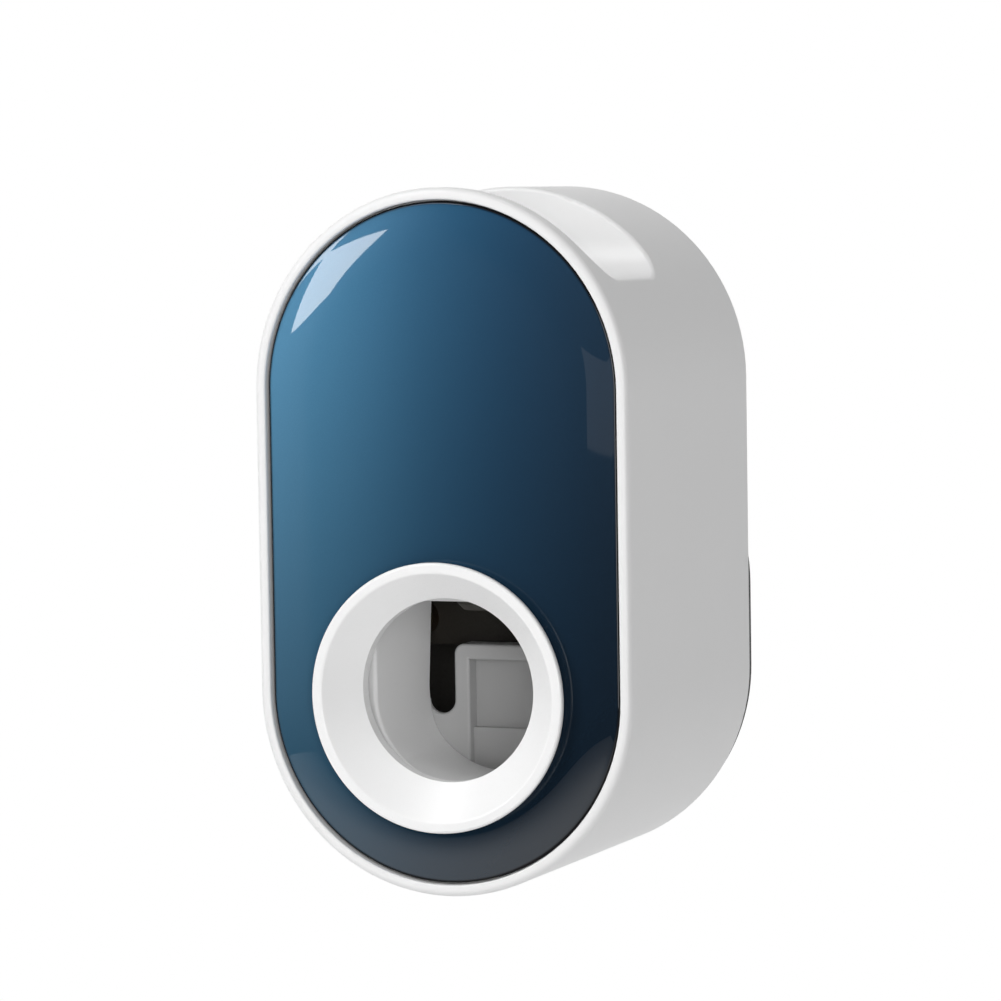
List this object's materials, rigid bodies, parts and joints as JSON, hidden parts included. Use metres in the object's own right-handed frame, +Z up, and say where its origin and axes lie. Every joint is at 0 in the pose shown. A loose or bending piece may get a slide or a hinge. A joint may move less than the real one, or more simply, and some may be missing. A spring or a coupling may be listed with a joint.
{
  "type": "toothpaste dispenser",
  "caption": "Wall-hung pump dispenser in an upright stadium case: a toothbrush pushed into the funnel ring works a sprung piston that lays toothpaste on it from the tube held in the top saddle.",
  "frame": {"origin": "on the glued face of the adhesive pad at the wall, level with the middle of the case", "axes": "+Z up, +Y into the wall, the front faces -Y, +X to the viewer's right"},
  "size_m": [0.074, 0.0719, 0.13],
  "materials": {
    "adhesive_pad": "foam tape",
    "wall_plate": "fine texture",
    "housing_shell": "satin gloss",
    "rear_cover": "fine texture",
    "cover_screws": "plated",
    "front_panel": "high gloss",
    "panel_tape": "foam tape",
    "funnel_ring": "gloss",
    "brush_trough": "satin",
    "trough_screws": "plated",
    "guide_posts": "ground",
    "return_springs": "drawn wire",
    "pump_body": "satin",
    "pump_cap": "satin",
    "cap_seal": "moulded",
    "pump_screws": "plated",
    "tube_collar": "soft matte",
    "valve_seat": "satin",
    "valve_spring": "drawn wire",
    "outlet_nozzle": "soft matte",
    "push_plate": "satin",
    "carriage": "satin",
    "guide_bushes": "sintered",
    "plate_screws": "plated",
    "piston": "satin",
    "piston_seal": "moulded",
    "rod_screw": "plated",
    "inlet_poppet": "moulded",
    "poppet_clip": "stamped"
  },
  "bodies": {
    "wall_mount": {"adhesive_pad": "adhesive_pad", "wall_plate": "wall_plate"},
    "dispenser": {"housing_shell": "housing_shell", "rear_cover": "rear_cover", "cover_screws": "cover_screws", "front_panel": "front_panel", "panel_tape": "panel_tape", "funnel_ring": "funnel_ring", "brush_trough": "brush_trough", "trough_screws": "trough_screws", "guide_posts": "guide_posts", "return_springs": "return_springs", "pump_body": "pump_body", "pump_cap": "pump_cap", "cap_seal": "cap_seal", "pump_screws": "pump_screws", "tube_collar": "tube_collar", "valve_seat": "valve_seat", "valve_spring": "valve_spring", "outlet_nozzle": "outlet_nozzle"},
    "pusher": {"push_plate": "push_plate", "carriage": "carriage", "guide_bushes": "guide_bushes", "plate_screws": "plate_screws", "piston": "piston", "piston_seal": "piston_seal", "rod_screw": "rod_screw"},
    "inlet_valve": {"inlet_poppet": "inlet_poppet", "poppet_clip": "poppet_clip"}
  },
  "joints": [
    {"name": "dispenser_lift", "type": "slide", "parent": "wall_mount", "child": "dispenser", "axis": [0, 0, 1], "range_m": [0, 0.0065]},
    {"name": "brush_push", "type": "slide", "parent": "dispenser", "child": "pusher", "axis": [0, 1, 0], "range_m": [0, 0.009], "stiffness_N_per_m": 260, "springref_m": -0.012, "deforming": ["return_springs"]},
    {"name": "valve_drop", "type": "slide", "parent": "dispenser", "child": "inlet_valve", "axis": [0, 0, -1], "range_m": [0, 0.0015], "stiffness_N_per_m": 20, "springref_m": -0.003, "deforming": ["valve_spring"]}
  ]
}
